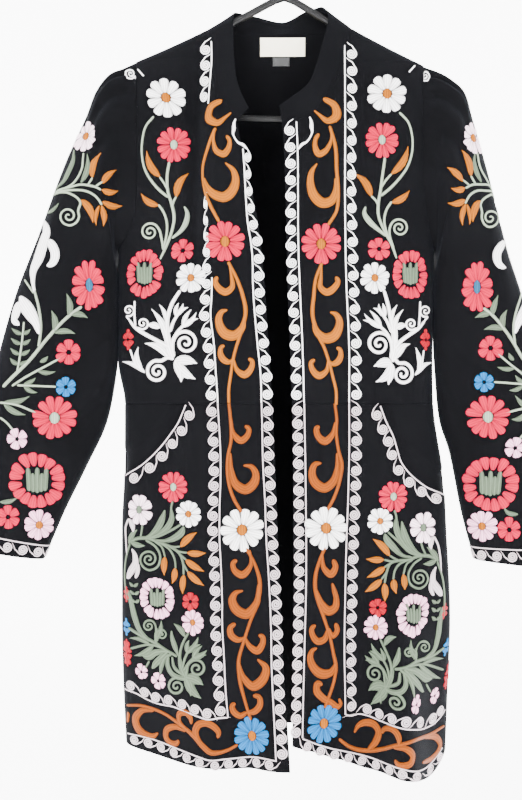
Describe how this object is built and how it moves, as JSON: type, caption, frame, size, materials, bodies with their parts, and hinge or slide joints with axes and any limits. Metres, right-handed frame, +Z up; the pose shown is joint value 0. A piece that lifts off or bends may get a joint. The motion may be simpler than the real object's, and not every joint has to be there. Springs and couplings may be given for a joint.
{
  "type": "embroidered jacket on a hanger",
  "caption": "Open-front embroidered long jacket with a narrow stand collar, slanted curved pocket mouths and gathered sleeve heads, hanging flat on a tubular hanger by its hook.",
  "frame": {"origin": "top of the inside of the hanger's hook, where a rail carries it, in the middle of the jacket's depth", "axes": "+Z up; +X to the wearer's left, the viewer's right; +Y from the front of the jacket to its back"},
  "size_m": [0.8096, 0.1709, 1.1282],
  "materials": {
    "black_cloth": "matt black woven cloth with floral embroidery",
    "label_cream": "woven satin label, blank",
    "label_dark": "woven size tag, blank",
    "hanger_black": "gloss moulded plastic"
  },
  "bodies": {
    "root": {"back": "black_cloth", "front_upper_right": "black_cloth", "front_upper_left": "black_cloth", "front_skirt_right": "black_cloth", "front_skirt_left": "black_cloth", "pocket_right": "black_cloth", "pocket_left": "black_cloth", "sleeve_right": "black_cloth", "sleeve_left": "black_cloth", "collar": "black_cloth", "label_main": "label_cream", "label_size": "label_dark", "hanger_frame": "hanger_black", "hanger_hook": "hanger_black"}
  },
  "joints": []
}
